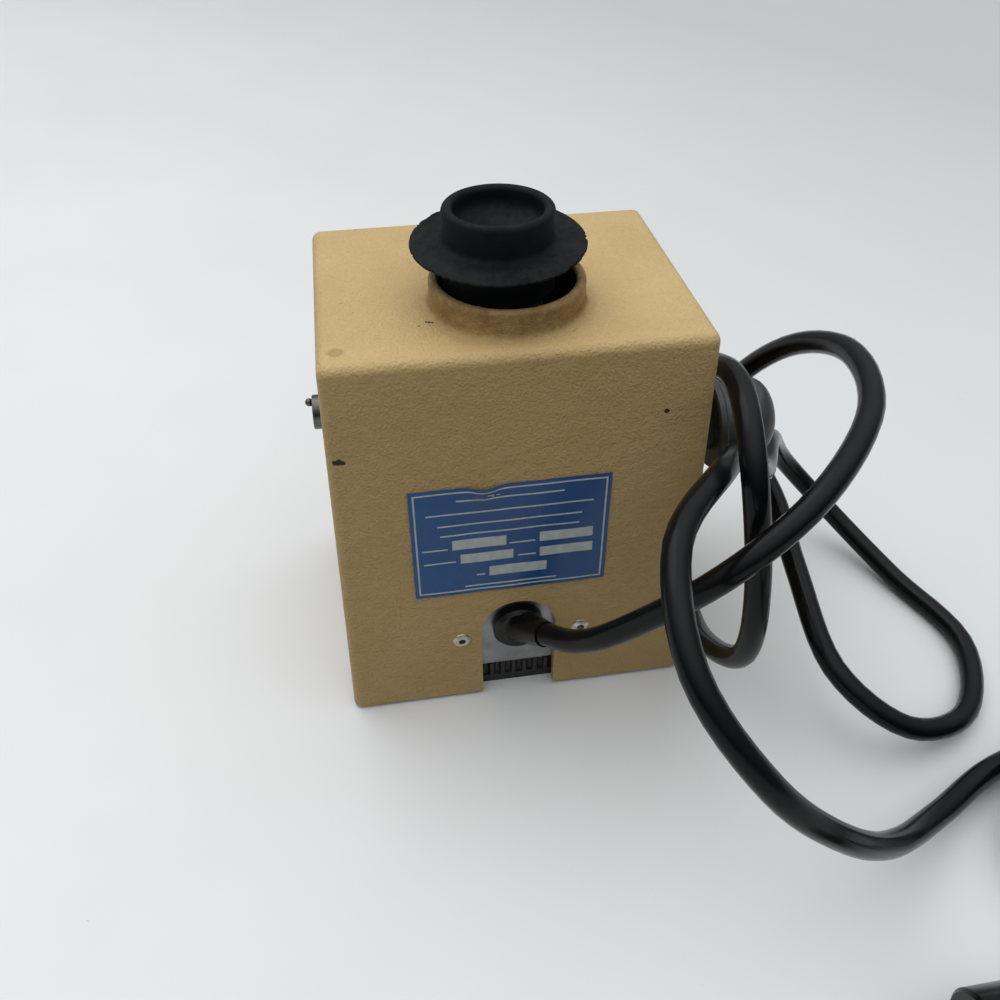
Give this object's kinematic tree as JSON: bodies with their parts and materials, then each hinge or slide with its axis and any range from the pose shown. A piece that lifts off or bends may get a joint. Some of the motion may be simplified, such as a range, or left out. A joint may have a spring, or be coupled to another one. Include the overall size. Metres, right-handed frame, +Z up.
{
  "type": "vortex mixer",
  "caption": "Benchtop vortex mixer: tan drafted case with a black rubber cup that orbits, a speed knob, a toggle switch and a mains cord.",
  "frame": {"origin": "on the table, under the middle of the case's footprint (middle of the rubber pad's underside)", "axes": "+Z up, along the drive shaft; +Y towards the back wall with the cord and rating plate; -Y is the operator's side; -X carries the speed knob and +X the toggle switch"},
  "size_m": [0.2996, 0.2548, 0.1704],
  "materials": {
    "case_enamel": "tan orange-peel enamel",
    "cup_rubber": "matt black moulded rubber",
    "pad_rubber": "black ribbed rubber",
    "cord_pvc": "black flexible jacket, satin",
    "black_plastic": "black moulded plastic",
    "knob_plastic": "dark moulded plastic, worn satin",
    "label_foil": "blue printed foil",
    "zinc_steel": "zinc plated sheet",
    "bright_chrome": "bright nickel plate",
    "rivet_metal": "drawn aluminium",
    "lamination": "varnished steel laminations",
    "bronze": "sintered bronze",
    "copper": "enamelled copper wire",
    "cast_alloy": "die-cast alloy",
    "ground_steel": "ground steel",
    "dark_steel": "black oxide steel",
    "nylon": "natural nylon",
    "switch_case": "phenolic",
    "switch_red": "red moulded plastic"
  },
  "bodies": {
    "case": {"housing": "case_enamel", "chassis": "zinc_steel", "base_pad": "pad_rubber", "case_rivets": "rivet_metal", "rating_plate": "label_foil", "strain_relief": "black_plastic", "motor_posts": "zinc_steel", "post_screws": "zinc_steel", "grommets": "pad_rubber", "motor_plate": "zinc_steel", "lower_bracket": "cast_alloy", "lower_bearing": "bronze", "stator_core": "lamination", "coil_bar": "lamination", "coil_bobbin": "nylon", "coil_winding": "copper", "shading_rings": "copper", "upper_bracket": "cast_alloy", "upper_bearing": "bronze", "motor_bolts": "zinc_steel", "motor_nuts": "zinc_steel", "thrust_guide": "bronze", "return_spring": "ground_steel", "switch_body": "switch_case", "switch_bracket": "zinc_steel", "switch_screws": "zinc_steel", "speed_control": "zinc_steel", "control_nut": "bright_chrome", "toggle_body": "switch_case", "toggle_bushing": "bright_chrome", "toggle_nut": "bright_chrome", "power_cord": "cord_pvc", "cord_coil": "cord_pvc", "cord_tail": "cord_pvc", "plug_body": "black_plastic", "plug_blades": "bright_chrome"},
    "press": {"thrust_plunger": "bronze", "thrust_ball": "ground_steel"},
    "rotor": {"motor_shaft": "ground_steel", "rotor_core": "lamination", "shaft_collar": "dark_steel", "counterweight": "dark_steel", "weight_set_screw": "dark_steel", "crank_pin": "ground_steel", "bearing_inner": "ground_steel", "crank_screw": "dark_steel"},
    "head": {"rubber_cup": "cup_rubber", "head_hub": "cast_alloy", "bearing_outer": "ground_steel", "bearing_balls": "ground_steel", "bearing_clip": "dark_steel"},
    "switch_arm": {"switch_lever": "ground_steel"},
    "switch_plunger": {"switch_button": "switch_red"},
    "knob": {"speed_knob": "knob_plastic", "control_shaft": "ground_steel", "knob_set_screw": "dark_steel"},
    "toggle": {"toggle_lever": "bright_chrome"}
  },
  "joints": [
    {"name": "cup_press", "type": "slide", "parent": "case", "child": "press", "axis": [0, 0, 1], "range_m": [-0.0015, 0], "stiffness_N_per_m": 4000, "springref_m": 0.002, "deforming": ["return_spring"]},
    {"name": "motor_spin", "type": "hinge", "parent": "press", "child": "rotor", "pos_m": [0, 0.0144, 0.08], "axis": [0, 0, 1], "continuous": true},
    {"name": "head_orbit", "type": "hinge", "parent": "rotor", "child": "head", "pos_m": [0.0023, 0.01247, 0.13], "axis": [0, 0, 1], "continuous": true},
    {"name": "switch_arm_tilt", "type": "hinge", "parent": "case", "child": "switch_arm", "pos_m": [0.033, 0.0144, 0.0274], "axis": [0, 1, 0], "range_deg": [-4, 0]},
    {"name": "switch_button_press", "type": "slide", "parent": "case", "child": "switch_plunger", "axis": [0, 0, 1], "range_m": [-0.0006, 0]},
    {"name": "knob_turn", "type": "hinge", "parent": "case", "child": "knob", "pos_m": [-0.05857, 0.018, 0.09177], "axis": [-0.9996, 0, 0.0269], "range_deg": [0, 270]},
    {"name": "toggle_rock", "type": "hinge", "parent": "case", "child": "toggle", "pos_m": [0.05353, -0.007, 0.09313], "axis": [0, 1, 0], "range_deg": [0, 42]}
  ],
  "couplings": [
    {"joint": "head_orbit", "follows": "motor_spin", "ratio": -1},
    {"joint": "switch_arm_tilt", "follows": "cup_press", "rad_per_m": 41},
    {"joint": "switch_button_press", "follows": "cup_press", "ratio": 0.37}
  ]
}
